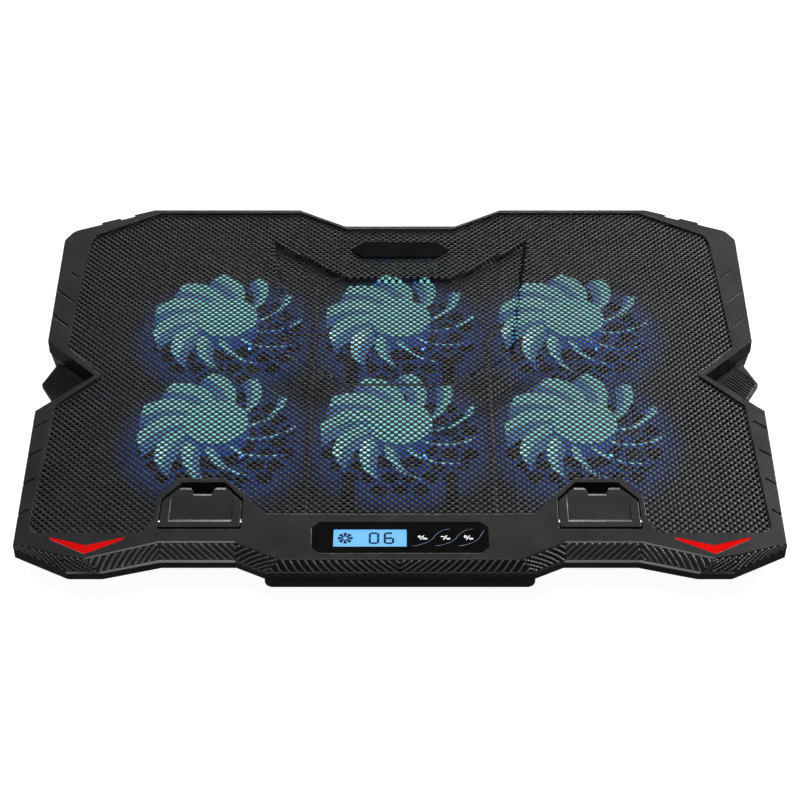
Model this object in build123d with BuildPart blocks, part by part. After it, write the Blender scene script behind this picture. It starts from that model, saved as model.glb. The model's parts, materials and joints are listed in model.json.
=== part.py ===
from build123d import *
import math
import os

os.makedirs("parts", exist_ok=True)

# A laptop cooling pad. Origin on the table under the middle of the pad.
# +X is the user's right, +Y goes back, +Z is up. Millimetres.

# ---------------------------------------------------------------- driving sizes
width = 406.0            # over the rear corners
depth = 308.0            # front lip to rear edge
height = 28.0            # deck above the table

# top frame
plate_t = 2.2            # deck plate
skirt_t = 1.8            # side wall
skirt_h = 9.5            # side wall's height
skirt_edge = 1.0         # bevel round its bottom
recess_half = 33.5       # flat of the rear recess, each side of the middle
recess_depth = 17.0
recess_flare = 28.2
rear_band = 3.0          # frame left behind the mesh
notch_y = -5.0           # side notch
notch_depth = 33.0
notch_reach = 30.3
corner_r = 8.0
opening_r = 5.0          # front corners of the mesh opening
step_out = 1.8           # raised blocks on the rear corners

# front ramp and its trim
lip_drop = 5.0
corner_drop = 2.6
ramp_t = 2.2
trim_t = 1.0
trim_start = 0.08        # of the ramp's own width
trim_end = 0.86

# mesh panel
mesh_t = 1.0
mesh_sink = 1.2          # mesh top under the deck
mesh_lap = 1.2           # hidden under the frame
mesh_gap = 0.2
emboss = 2.0             # depth of the sunken middle

# bottom case
floor_t = 2.0
case_wall = 2.2
foot_h = 3.0             # floor above the table
seam = 0.1               # between skirt and case
reveal = 0.8             # case rim inside the skirt
side_taper = 0.5
rear_taper = 8.0
front_taper = 16.0
notch_taper = 10.0
bar_half = 68.0          # front bar
bar_h = 5.6
bar_d = 12.0
bar_r = 4.0
grip_t = 3.0             # side grips in the notches
rib_h = 0.8
rib_w = 1.1
rib_pitch = 2.6

# fans
fan_dx = 101.0
fan_dy = 92.5
fan_front_y = -35.0
blade_count = 11
fan_r = 43.5
hub_r = 18.0
hub_wall = 1.3
hub_top_z = 20.0
hub_bottom_z = 9.5
hub_cap = 1.4
blade_z = 14.6           # middle of the blades
blade_t = 1.3
blade_sweep = 30.0       # degrees from root to tip
blade_camber = 1.1
shaft_r = 1.5
shaft_gap = 0.06
magnet_t = 1.7
motor_r = 22.0
motor_base_t = 2.0
stator_r = 13.8
vent_cell = 9.2          # across flats
vent_web = 1.8
vent_r = 47.0
pillar_r = 3.6           # posts round the front middle fan
pillar_bore = 1.3

# stoppers
stopper_x = 102.5
stopper_half = 20.6
stopper_tip_half = 11.8
stopper_t = 4.4
stopper_sink = 0.2
stopper_front = 29.0     # these four are measured back from the lip
stopper_shoulder = 47.7
stopper_tip = 58.3
pocket_back = 62.0
pocket_gap = 0.7
pocket_front_gap = 2.0
pocket_wall = 1.6
finger_half = 6.8
finger_root = 4.7
finger_depth = 4.6
panel_sink = 0.7
slope_l = 1.8            # length and fall of the stopper's shallow bevels
slope_fall = 0.4
stopper_axis = 34.5      # back from the lip
stopper_axis_sink = 2.5  # under the deck
pin_r = 1.2
pin_gap = 0.08

# controls
lens_half = 44.8
lens_d = 22.4
lens_y = 21.1            # middle, back from the lip
lens_t = 1.2
lens_cut = 4.2           # corner bevels
lens_sink = 0.2
lens_gap = 0.15
lens_ledge = 1.5
lcd_x = -15.2
lcd_w = 37.2
lcd_d = 12.9
key_r = 4.3
key_gap = 0.3
key_x = (11.2, 22.85, 34.5)
key_travel = 0.35
board_t = 1.6
board_top = 8.4          # under the deck
board_half = 50.0
board_d = 20.0
post_r = 2.4
switch_h = 3.0

# rear legs, feet and sockets
leg_x = 110.0
leg_w = 55.0
leg_l = 35.7
leg_t = 4.2
leg_axis = 12.5          # in from the rear edge
leg_pin_r = 1.5
leg_pad_l = 3.0
leg_finger_half = 8.0
leg_finger_depth = 5.0
foot_r = 7.0
foot_seat = 0.8
socket_w = 13.2
socket_h = 5.8
socket_l = 14.0
socket_x = 12.0
supply_d = 18.0
screw_r = 1.2
screw_head_r = 2.3

# ---------------------------------------------------------------- worked out
half_w = width / 2
rear_y = depth / 2
lip_y = -depth / 2
skirt_z = height - skirt_h
plate_z = height - plate_t
floor_z = foot_h + floor_t
rim_z = skirt_z - seam
mesh_z = height - mesh_sink - mesh_t
chevron_x = half_w - 44.4
lens_cy = lip_y + lens_y
stopper_in, stopper_out = stopper_x - stopper_half, stopper_x + stopper_half
axis_y = lip_y + stopper_axis
axis_z = height - stopper_axis_sink
leg_y = rear_y - leg_axis
fans = [(col * fan_dx, fan_front_y + row * fan_dy) for row in (0, 1) for col in (-1, 0, 1)]
fan_turns = (6, -6, -6, 8, 12, 6)
case_screws = [(s * x, y) for s in (-1, 1) for x, y in (
    (half_w - 12, rear_y - 36), (half_w - 11, notch_y + 45),
    (half_w - 10.2, notch_y - 55), (stopper_x - 34.5, lip_y + 30))]
board_holes = [(s * (board_half - 3.2), lip_y + lens_y) for s in (-1, 1)]
port_y = rear_y - recess_depth
supply_y = port_y - 3 - supply_d / 2
supply_holes = [(s * 19.5, supply_y - supply_d / 2 + 2.6) for s in (-1, 1)]


def both(half):
    """A half outline, from the rear middle to the front middle, closed by its mirror image."""
    return half + [(-x, y) for x, y in reversed(half)]


def deck_half(stepped=False):
    """Right half of the deck's edge."""
    corner, slope = (half_w - 5, rear_y - 22), (half_w - 56, rear_y)
    length = math.dist(corner, slope)
    along = ((corner[0] - slope[0]) / length, (corner[1] - slope[1]) / length)
    out = (-along[1] * step_out, along[0] * step_out)

    def on_edge(t, raised):
        return (slope[0] + along[0] * t + out[0] * raised, slope[1] + along[1] * t + out[1] * raised)

    blocks = [(half_w - 51.7, rear_y)] + [on_edge(t, r) for t, r in (
        (17, 1), (17.4, 0), (26, 0), (26.4, 1), (38, 1), (38.4, 0))]
    return [
        (recess_half, rear_y - recess_depth),
        (recess_half + recess_flare, rear_y),
        *(blocks if stepped else [slope]),
        corner,
        (half_w, rear_y - 31),
        (half_w - 3, notch_y + notch_reach),
        (half_w - notch_depth, notch_y),
        (half_w - 4.3, notch_y - notch_reach),
        *[lower for upper, lower, drop in reversed(ramp_half()[1:])],
    ]


def ramp_half():
    """The front ramp, from the middle to the right corner: upper point, lip point, drop."""
    return [
        ((0, lip_y + 5.6), (0, lip_y), lip_drop),
        ((stopper_in - 22.2, lip_y + 5.6), (stopper_in - 14.4, lip_y), lip_drop),
        ((stopper_in + 1.6, lip_y + 18.3), (stopper_in + 1.1, lip_y + 8), lip_drop),
        ((stopper_out - 1.1, lip_y + 18.3), (stopper_out - 2.1, lip_y + 8), lip_drop),
        ((chevron_x - 0.6, lip_y + 6.5), (chevron_x - 8.6, lip_y), lip_drop),
        ((chevron_x + 12, lip_y + 9.2), (chevron_x + 8.4, lip_y), lip_drop),
        ((half_w - 8.5, lip_y + 16.5), (half_w - 7.6, lip_y + 15.2), corner_drop),
    ]


def mesh_half():
    """Right half of the opening in the deck."""
    return [
        (recess_half - 1, rear_y - recess_depth - rear_band),
        (recess_half + recess_flare - 1, rear_y - rear_band),
        (half_w - 56.5, rear_y - rear_band),
        (half_w - 18.1, rear_y - 26.8),
        (half_w - 16.1, rear_y - 36),
        (half_w - 14.8, notch_y + 25.3),
        (half_w - notch_depth - 3.7, notch_y),
        (half_w - 14.4, notch_y - 25.8),
        (half_w - 13.7, lip_y + 24.5),
        (stopper_out + 7.9, lip_y + 24.5),
        (stopper_out + 3.2, lip_y + 36),
        (stopper_out + 3.2, lip_y + 51),
        (stopper_x + stopper_tip_half + 1.4, lip_y + 64.7),
        (stopper_x - stopper_tip_half + 0.3, lip_y + 64.7),
        (stopper_in - 12.9, lip_y + 38.5),
        (recess_half + 17.8, lip_y + 38),
    ]


def opening(grow=0.0):
    """The mesh opening in the sketch that calls it, its front corners rounded, grown by that much."""
    with BuildSketch() as shape:
        outline(both(mesh_half()))
        front = [v for v in shape.vertices()
                 if v.Y < lip_y + 25 and (abs(v.X) > half_w - 20 or abs(v.X) < stopper_out + 9)]
        fillet(front, opening_r)
        if grow:
            offset(amount=grow, kind=Kind.INTERSECTION)
    return shape.sketch


def outline(points, mode=Mode.ADD):
    """A closed face through the points, in the sketch that calls it."""
    with BuildLine() as edge:
        Polyline(*points, close=True)
    make_face(edge.edges(), mode=mode)


def ramp_sections(profile):
    """One sketch across the ramp at each of its points, from left to right.

    profile gives the section's corners from the ramp's width and drop there.
    """
    right = ramp_half()
    left = [((-u[0], u[1]), (-v[0], v[1]), drop) for u, v, drop in reversed(right[1:])]
    sections = []
    for upper, lower, drop in left + right:
        run = math.dist(upper, lower)
        dx, dy = (lower[0] - upper[0]) / run, (lower[1] - upper[1]) / run
        plane = Plane(origin=(*upper, height), x_dir=(dx, dy, 0), z_dir=(dy, -dx, 0))
        with BuildSketch(plane) as section:
            outline(profile(run, drop))
        sections.append(section.sketch.face())
    return sections


def above_ramp(run, drop):
    return [(0, 0), (run, -drop), (run + 2, -drop - 1), (run + 2, 2), (0, 2)]


def under_ramp(run, drop):
    return [(-2, 0), (0, 0), (run, -drop), (run, -drop - ramp_t), (-2, -ramp_t)]


def trim_section(run, drop):
    start, end = trim_start * run, trim_end * run
    fall = drop / run
    return [(start, -start * fall), (end, -end * fall),
            (end, -end * fall - trim_t), (start, -start * fall - trim_t)]


def stopper_outline(side):
    cx = side * stopper_x
    return [(cx - stopper_half, lip_y + stopper_front), (cx + stopper_half, lip_y + stopper_front),
            (cx + stopper_half, lip_y + stopper_shoulder), (cx + stopper_tip_half, lip_y + stopper_tip),
            (cx - stopper_tip_half, lip_y + stopper_tip), (cx - stopper_half, lip_y + stopper_shoulder)]


def pocket_outline(side, wall=0.0):
    cx = side * stopper_x
    half, tip = stopper_half + pocket_gap + wall, stopper_tip_half - 0.6 + wall
    front, shoulder = stopper_front - pocket_front_gap - wall, stopper_shoulder + 1.5
    return [(cx - half, lip_y + front), (cx + half, lip_y + front),
            (cx + half, lip_y + shoulder), (cx + tip, lip_y + pocket_back + wall),
            (cx - tip, lip_y + pocket_back + wall), (cx - half, lip_y + shoulder)]


def chevron_outline(side):
    cx = side * chevron_x
    return [(cx - 19.2, lip_y + 21.3), (cx, lip_y + 15.4), (cx + 19.2, lip_y + 21.3),
            (cx + 18.4, lip_y + 19.4), (cx, lip_y + 9.2), (cx - 18.4, lip_y + 19.4)]


def lens_outline(gap=0.0):
    x, y, c = lens_half + gap, lens_d / 2 + gap, lens_cut
    return [(-x + c, lens_cy - y), (x - c, lens_cy - y), (x, lens_cy - y + c), (x, lens_cy + y - c),
            (x - c, lens_cy + y), (-x + c, lens_cy + y), (-x, lens_cy + y - c), (-x, lens_cy - y + c)]


def grip_outline(side):
    return [(side * x, y) for x, y in (
        (half_w - 8.7, notch_y + 22.7), (half_w - 1.9, notch_y + 4.6), (half_w - 10.3, notch_y - 10.5),
        (half_w - 24, notch_y - 16), (half_w - notch_depth - 6, notch_y), (half_w - 20, notch_y + 20))]


def case_half(level):
    """Right half of the case's outline, from 0 at the floor to 1 at the rim."""
    points = []
    for x, y in deck_half():
        dx, dy = side_taper, rear_taper if y > 0 else -front_taper
        if x <= recess_half:
            dx, dy = 0, 0
        elif y > 0 and x < half_w - 60:
            dx = 0
        elif abs(y - notch_y) < 1:
            dx, dy = notch_taper, 0
        elif abs(y - notch_y) < notch_reach + 2:
            dy = 0 if y < notch_y else -6
        points.append((x - dx * (1 - level), y - dy * (1 - level)))
    return points


def case_outline(level, wall):
    kx, ky = (half_w - reveal - wall) / half_w, (rear_y - reveal - wall) / rear_y
    return [(x * kx, y * ky) for x, y in both(case_half(level))]


def vent_cells(cx, cy):
    """Honeycomb round one fan: the cells that miss the motor seat."""
    pitch = vent_cell + vent_web
    rows = int(vent_r / pitch) + 2
    cells = []
    for j in range(-rows, rows + 1):
        for i in range(-rows, rows + 1):
            x, y = (i + j % 2 / 2) * pitch, j * pitch * math.sqrt(3) / 2
            if motor_r + vent_cell / 2 + 1 < math.hypot(x, y) < vent_r - vent_cell / 2:
                cells.append((cx + x, cy + y))
    return cells


def save(part, name):
    part.label = name
    export_step(part, f"parts/{name}.step")


# ---------------------------------------------------------------- top frame
with BuildPart() as top_frame:
    with BuildSketch(Plane.XY.offset(skirt_z)) as deck:
        outline(both(deck_half(stepped=True)))
        rear_corners = [v for v in deck.vertices() if abs(v.X) > half_w - 6 and v.Y > rear_y - 32]
        fillet(rear_corners, corner_r)
    extrude(amount=skirt_h)
    chamfer(top_frame.faces().sort_by(Axis.Z)[0].edges(), skirt_edge)
    with BuildSketch(Plane.XY.offset(skirt_z)):
        outline(both(deck_half()))
        offset(amount=-skirt_t, kind=Kind.INTERSECTION)
    extrude(amount=skirt_h - plate_t, mode=Mode.SUBTRACT)
    # the ramp down to the front lip
    loft(ramp_sections(above_ramp), ruled=True, mode=Mode.SUBTRACT)
    loft(ramp_sections(under_ramp), ruled=True)
    loft(ramp_sections(trim_section), ruled=True, mode=Mode.SUBTRACT)
    # a well for each stopper
    well_z = axis_z - math.hypot(stopper_axis - stopper_front, stopper_axis_sink) - 0.5
    for side in (-1, 1):
        with BuildSketch(Plane.XY.offset(well_z - pocket_wall)):
            outline(pocket_outline(side, pocket_wall))
        extrude(amount=plate_z + 0.5 - well_z + pocket_wall)
        with BuildSketch(Plane.XY.offset(well_z)):
            outline(pocket_outline(side))
        extrude(amount=height - well_z, mode=Mode.SUBTRACT)
        with BuildSketch(Plane.YZ.offset(side * stopper_x)):
            with Locations((axis_y, axis_z)):
                Circle(pin_r)
        extrude(amount=stopper_half + pocket_gap + pocket_wall, both=True, mode=Mode.SUBTRACT)
    # posts for the case screws, and for the control board
    with BuildSketch(Plane.XY.offset(floor_z + 2.6)):
        with Locations(*case_screws):
            Circle(post_r)
    extrude(until=Until.NEXT)
    with BuildSketch(Plane.XY.offset(height - board_top)):
        with Locations(*board_holes):
            Circle(post_r)
    extrude(amount=board_top - plate_t + 0.2)
    with BuildSketch(Plane.XY.offset(floor_z + 2.6)):
        with Locations(*case_screws):
            Circle(screw_r)
    extrude(amount=8, mode=Mode.SUBTRACT)
    with BuildSketch(Plane.XY.offset(height - board_top)):
        with Locations(*board_holes):
            Circle(1.0)
    extrude(amount=5, mode=Mode.SUBTRACT)
    # the mesh opening, with a rebate under its edge
    with BuildSketch(Plane.XY.offset(plate_z - 1)):
        add(opening())
    extrude(amount=plate_t + 2, mode=Mode.SUBTRACT)
    with BuildSketch(Plane.XY.offset(mesh_z - 0.3)):
        add(opening(mesh_lap))
    extrude(amount=mesh_t + 0.3, mode=Mode.SUBTRACT)
    # seats for the lens and the chevrons
    with BuildSketch(Plane.XY.offset(height - lens_sink - lens_t)):
        outline(lens_outline(lens_gap))
    extrude(amount=lens_t + lens_sink, mode=Mode.SUBTRACT)
    with BuildSketch(Plane.XY.offset(plate_z)):
        outline(lens_outline(-lens_ledge))
    extrude(amount=plate_t, mode=Mode.SUBTRACT)
    for side in (-1, 1):
        with BuildSketch(Plane.XY.offset(height - 0.9)):
            outline(chevron_outline(side))
        extrude(amount=0.9, mode=Mode.SUBTRACT)
        # slanted grooves in the side rails
        with BuildSketch(Plane.XY.offset(height - 0.8)):
            for back, inset, run in ((66.0, 10.3, 8), (86.7, 7.6, 16), (109.9, 7.4, 15.5)):
                with Locations((side * (half_w - inset), rear_y - back)):
                    Rectangle(run, 1.3, rotation=side * 46)
            for back in (107.5, 84.6, 62.1, 38.6):
                with Locations((side * (half_w - 8.5), lip_y + back)):
                    Rectangle(8.6, 1.3, rotation=-side * 44)
        extrude(amount=0.8, mode=Mode.SUBTRACT)
save(top_frame.part, "top_frame")

# ---------------------------------------------------------------- mesh panel
sunken = [(recess_half - 3.2, rear_y - 68.4), (half_w - 126, rear_y - 31.3),
          (half_w - 139, notch_y + 18.7), (recess_half - 5.1, notch_y - 6.6)]
with BuildPart() as mesh_panel:
    with BuildSketch(Plane.XY.offset(mesh_z)):
        add(opening(mesh_lap - mesh_gap))
    extrude(amount=mesh_t)
    with BuildSketch(Plane.XY.offset(mesh_z - emboss)):
        outline(both(sunken))
        offset(amount=mesh_t, kind=Kind.INTERSECTION)
    extrude(amount=emboss)
    with BuildSketch(Plane.XY.offset(mesh_z - emboss + mesh_t)):
        outline(both(sunken))
    extrude(amount=emboss, mode=Mode.SUBTRACT)
save(mesh_panel.part, "mesh_panel")

with BuildPart() as badge_plate:
    with BuildSketch(Plane.XY.offset(mesh_z + mesh_t)):
        outline([(-22, rear_y - 48.6), (22, rear_y - 48.6), (29, rear_y - 41), (22, rear_y - 33.3),
                 (-22, rear_y - 33.3), (-29, rear_y - 41)])
    extrude(amount=mesh_sink)
save(badge_plate.part, "badge_plate")

with BuildPart() as front_trim:
    loft(ramp_sections(trim_section), ruled=True)
save(front_trim.part, "front_trim")

for side, name in ((-1, "chevron_left"), (1, "chevron_right")):
    with BuildPart() as chevron:
        with BuildSketch(Plane.XY.offset(height - 0.9)):
            outline(chevron_outline(side))
        extrude(amount=0.85)
    save(chevron.part, name)

# ---------------------------------------------------------------- bottom case
pillars = [(s * 27.5, fan_front_y + d) for s in (-1, 1) for d in (-52.0, 50.5)]
socket_z = floor_z + 4 + socket_h / 2
with BuildPart() as bottom_case:
    with BuildSketch(Plane.XY.offset(foot_h)):
        outline(case_outline(0, 0))
    with BuildSketch(Plane.XY.offset(rim_z)):
        outline(case_outline(1, 0))
    loft(ruled=True)
    # front bar, with its lower corners rounded
    with BuildSketch(Plane.XZ.offset(-lip_y - reveal)):
        with Locations((0, rim_z - bar_h / 2)):
            Rectangle(2 * bar_half, bar_h)
        fillet([v for v in vertices() if v.Y < rim_z - 1], bar_r)
    extrude(amount=-bar_d)
    # side grips
    for side in (-1, 1):
        with BuildSketch(Plane.XY.offset(rim_z - rib_h - grip_t)):
            outline(grip_outline(side))
        extrude(amount=grip_t)
    with BuildSketch(Plane.XY.offset(floor_z)):
        outline(case_outline(floor_t / (rim_z - foot_h), case_wall))
    with BuildSketch(Plane.XY.offset(rim_z)):
        outline(case_outline(1, case_wall))
    loft(ruled=True, mode=Mode.SUBTRACT)
    for side in (-1, 1):
        with BuildSketch(Plane.XY.offset(rim_z - rib_h)):
            outline([(side * x, y) for x, y in (
                (half_w - 9.4, notch_y + 21), (half_w - 3.2, notch_y + 4.6),
                (half_w - 11, notch_y - 9.3), (half_w - notch_depth + 6, notch_y))])
            slats = Sketch() + [Pos(side * (half_w - 17 + k * rib_pitch), notch_y + 4)
                                * Rectangle(rib_w, 60, rotation=side * 38) for k in range(-6, 7)]
            add(slats, mode=Mode.INTERSECT)
        extrude(amount=rib_h)
    # posts round the front middle fan
    with BuildSketch(Plane.XY.offset(foot_h)):
        with Locations(*pillars):
            Circle(pillar_r)
    extrude(amount=hub_top_z - foot_h)
    with BuildSketch(Plane.XY.offset(hub_top_z - 8)):
        with Locations(*pillars):
            Circle(pillar_bore)
    extrude(amount=8, mode=Mode.SUBTRACT)
    # screw bosses, with the heads sunk in the underside
    with BuildSketch(Plane.XY.offset(foot_h)):
        with Locations(*case_screws):
            Circle(3.4)
    extrude(amount=floor_t + 2.5)
    with BuildSketch(Plane.XY.offset(foot_h)):
        with Locations(*case_screws):
            Circle(screw_head_r + 0.2)
    extrude(amount=1.8, mode=Mode.SUBTRACT)
    with BuildSketch(Plane.XY.offset(foot_h)):
        with Locations(*case_screws):
            Circle(screw_r + 0.2)
    extrude(amount=floor_t + 2.5, mode=Mode.SUBTRACT)
    # a pocket in the underside for each leg
    for side in (-1, 1):
        pocket_w, pocket_l = leg_w + 1.6, leg_l + 2.2 + leg_pin_r
        pocket_y = leg_y + 2.8 - pocket_l / 2
        with BuildSketch(Plane.XY.offset(foot_h)):
            with Locations((side * leg_x, pocket_y)):
                Rectangle(pocket_w + 2 * pocket_wall, pocket_l + 2 * pocket_wall)
        extrude(amount=leg_t + 1.3 + floor_t)
        with BuildSketch(Plane.XY.offset(foot_h)):
            with Locations((side * leg_x, pocket_y)):
                Rectangle(pocket_w, pocket_l)
        extrude(amount=leg_t + 1.3, mode=Mode.SUBTRACT)
        with BuildSketch(Plane.YZ.offset(side * leg_x)):
            with Locations((leg_y, foot_h + 2.6)):
                Circle(leg_pin_r)
        extrude(amount=leg_w / 2 + 2.2, both=True, mode=Mode.SUBTRACT)
    # foot seats
    feet = {"foot_front_left": (-half_w + 53, lip_y + 32), "foot_front_right": (half_w - 53, lip_y + 32),
            "foot_rear_left": (-half_w + 43, rear_y - 29), "foot_rear_right": (half_w - 43, rear_y - 29)}
    with BuildSketch(Plane.XY.offset(foot_h)):
        with Locations(*feet.values()):
            Circle(foot_r + 0.1)
    extrude(amount=foot_seat, mode=Mode.SUBTRACT)
    # the power sockets' mouths and their board's posts
    with BuildSketch(Plane.XZ.offset(-port_y - 1)):
        with Locations((-socket_x, socket_z), (socket_x, socket_z)):
            Rectangle(socket_w + 0.3, socket_h + 0.3)
    extrude(amount=8, mode=Mode.SUBTRACT)
    with BuildSketch(Plane.XY.offset(floor_z)):
        with Locations(*supply_holes):
            Circle(2.4)
    extrude(amount=4 - board_t)
    with BuildSketch(Plane.XY.offset(foot_h + 0.6)):
        with Locations(*supply_holes):
            Circle(1.0)
        for cx, cy in fans:
            with Locations((cx, cy)):
                with PolarLocations(motor_r - 2.4, 4):
                    Circle(0.8)
    extrude(amount=floor_t + 4, mode=Mode.SUBTRACT)
    # room for the frame's posts beside the walls
    with BuildSketch(Plane.XY.offset(floor_z + 2.5)):
        with Locations(*case_screws):
            Circle(post_r + 0.2)
    extrude(amount=skirt_h * 2, mode=Mode.SUBTRACT)
    # honeycomb vents
    with BuildSketch(Plane.XY.offset(foot_h)):
        with Locations(*[cell for fan in fans for cell in vent_cells(*fan)]):
            RegularPolygon(radius=vent_cell / 2, side_count=6, major_radius=False, rotation=30)
    extrude(amount=floor_t, mode=Mode.SUBTRACT)
save(bottom_case.part, "bottom_case")

for name, (x, y) in feet.items():
    with BuildPart() as foot:
        with BuildSketch():
            with Locations((x, y)):
                Circle(foot_r)
        extrude(amount=foot_h + foot_seat)
        chamfer(foot.edges().group_by(Axis.Z)[0], 0.6)
    save(foot.part, name)

# ---------------------------------------------------------------- fans
cap_z = hub_top_z - hub_cap
with BuildPart() as rotor:
    with BuildSketch(Plane.XZ):
        with BuildLine():
            Polyline((0, cap_z), (0, hub_top_z), (hub_r - 1.5, hub_top_z))
            RadiusArc((hub_r - 1.5, hub_top_z), (hub_r, hub_top_z - 1.5), 1.5)
            Polyline((hub_r, hub_top_z - 1.5), (hub_r, hub_bottom_z), (hub_r - hub_wall, hub_bottom_z),
                     (hub_r - hub_wall, cap_z), (0, cap_z))
        make_face()
    revolve(axis=Axis.Z)
    with BuildSketch(Plane.XY.offset(cap_z - 1.8)):
        Circle(3.2)
    extrude(amount=1.8)
    with BuildSketch(Plane.XY.offset(cap_z - 1.8)):
        Circle(shaft_r)
    extrude(amount=1.8, mode=Mode.SUBTRACT)
with BuildPart() as blade:
    root = hub_r - hub_wall + 0.25
    for share, chord, pitch in ((0, 9.5, 42), (0.33, 13, 41), (0.68, 14.5, 39), (1, 12, 37)):
        radius = root + share * (fan_r - root)
        angle, tilt = math.radians(blade_sweep * share ** 1.3), math.radians(pitch)
        out = (math.cos(angle), math.sin(angle), 0)
        plane = Plane(origin=(radius * out[0], radius * out[1], blade_z), z_dir=out,
                      x_dir=(-out[1] * math.cos(tilt), out[0] * math.cos(tilt), -math.sin(tilt)))
        with BuildSketch(plane):
            shoulder = blade_camber * 0.7
            outline([(-chord / 2, 0), (-chord / 4, shoulder - 0.2), (0, blade_camber),
                     (chord / 4, shoulder - 0.2), (chord / 2, 0), (chord / 4, shoulder - blade_t),
                     (0, blade_camber - blade_t), (-chord / 4, shoulder - blade_t)])
    loft()
with BuildPart() as fan_rotor:
    add(rotor.part)
    with PolarLocations(0, blade_count):
        add(blade.part)

with BuildPart() as magnet:
    with BuildSketch(Plane.XY.offset(hub_bottom_z + 0.8)):
        Circle(hub_r - hub_wall)
        Circle(hub_r - hub_wall - magnet_t, mode=Mode.SUBTRACT)
    extrude(amount=7.2)

with BuildPart() as shaft:
    with BuildSketch(Plane.XY.offset(floor_z + 1)):
        Circle(shaft_r)
    extrude(amount=cap_z - floor_z - 1)

with BuildPart() as motor:
    with BuildSketch(Plane.XY.offset(floor_z)):
        Circle(motor_r)
    extrude(amount=motor_base_t)
    with BuildSketch(Plane.XY.offset(floor_z)):
        Circle(4)
    extrude(amount=cap_z - 2.4 - floor_z)
    with BuildSketch(Plane.XY.offset(hub_bottom_z - 0.5)):
        Circle(stator_r)
        with PolarLocations(9, 4, start_angle=45):
            Circle(3.4, mode=Mode.SUBTRACT)
    extrude(amount=6.5)
    with BuildSketch(Plane.XY.offset(floor_z + motor_base_t)):
        Circle(7)
    extrude(amount=2.2)
    with BuildSketch(Plane.XY.offset(floor_z + 1)):
        Circle(shaft_r + shaft_gap)
    extrude(amount=20, mode=Mode.SUBTRACT)
    with BuildSketch(Plane.XY.offset(floor_z)):
        with PolarLocations(motor_r - 2.4, 4):
            Circle(0.85)
    extrude(amount=motor_base_t, mode=Mode.SUBTRACT)

with BuildPart() as light_ring:
    with BuildSketch(Plane.XY.offset(floor_z + motor_base_t)):
        with PolarLocations(motor_r - 2.3, 4, start_angle=45):
            Rectangle(1.8, 1.8)
    extrude(amount=0.9)

with BuildPart() as motor_screw_ring:
    with BuildSketch(Plane.XY.offset(foot_h + 0.8)):
        with PolarLocations(motor_r - 2.4, 4):
            Circle(0.75)
    extrude(amount=floor_z + motor_base_t - foot_h - 0.8)
    with BuildSketch(Plane.XY.offset(floor_z + motor_base_t)):
        with PolarLocations(motor_r - 2.4, 4):
            Circle(1.4)
    extrude(amount=0.9)

for number, ((x, y), turn) in enumerate(zip(fans, fan_turns), start=1):
    place = Pos(x, y) * Rot(0, 0, turn)
    save(place * fan_rotor.part, f"fan_rotor_{number}")
    save(place * magnet.part, f"fan_magnet_{number}")
    save(place * shaft.part, f"fan_shaft_{number}")
    save(Pos(x, y) * motor.part, f"fan_motor_{number}")

with BuildPart() as fan_lights:
    with Locations(*fans):
        add(light_ring.part)
save(fan_lights.part, "fan_lights")

with BuildPart() as motor_screws:
    with Locations(*fans):
        add(motor_screw_ring.part)
save(motor_screws.part, "motor_screws")

# ---------------------------------------------------------------- stoppers
for side, name in ((-1, "stopper_left"), (1, "stopper_right")):
    cx = side * stopper_x
    top_z = height - stopper_sink
    tip_y = lip_y + stopper_tip
    notch_end = tip_y - finger_depth
    with BuildPart() as stopper:
        with BuildSketch(Plane.XY.offset(top_z - stopper_t)):
            outline(stopper_outline(side))
            finger_notch = [(cx - finger_half, tip_y + 1), (cx + finger_half, tip_y + 1),
                            (cx + finger_root, notch_end), (cx - finger_root, notch_end)]
            outline(finger_notch, mode=Mode.SUBTRACT)
        extrude(amount=stopper_t)
        # shallow bevels on the two tabs and behind the notch
        for back, reach in ((tip_y, stopper_tip_half), (notch_end, finger_root)):
            with BuildSketch(Plane.YZ.offset(cx)):
                outline([(back - slope_l, top_z), (back, top_z - slope_fall), (back + 0.1, top_z)])
            extrude(amount=reach, both=True, mode=Mode.SUBTRACT)
        # sunken panel, with a bevel at its front, that rises to the rear
        with BuildSketch(Plane.YZ.offset(cx)):
            panel_y = lip_y + 32.6
            outline([(panel_y, top_z), (panel_y + slope_l, top_z - slope_fall),
                     (panel_y + slope_l, top_z - panel_sink), (notch_end - slope_l - 0.5, top_z)])
        extrude(amount=stopper_half - 4.4, both=True, mode=Mode.SUBTRACT)
        with BuildSketch(Plane.YZ.offset(cx)):
            with Locations((axis_y, axis_z)):
                Circle(pin_r + pin_gap)
        extrude(amount=stopper_half + 1, both=True, mode=Mode.SUBTRACT)
    save(stopper.part, name)

with BuildPart() as stopper_pins:
    for side in (-1, 1):
        with BuildSketch(Plane.YZ.offset(side * stopper_x)):
            with Locations((axis_y, axis_z)):
                Circle(pin_r)
        extrude(amount=stopper_half + pocket_gap + pocket_wall, both=True)
save(stopper_pins.part, "stopper_pins")

# ---------------------------------------------------------------- controls
lens_z = height - lens_sink - lens_t
with BuildPart() as display_lens:
    with BuildSketch(Plane.XY.offset(lens_z)):
        outline(lens_outline())
        with Locations((lcd_x, lens_cy)):
            Rectangle(lcd_w, lcd_d, mode=Mode.SUBTRACT)
        with Locations(*[(x, lens_cy) for x in key_x]):
            Circle(key_r + key_gap, mode=Mode.SUBTRACT)
    extrude(amount=lens_t)
save(display_lens.part, "display_lens")

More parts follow.
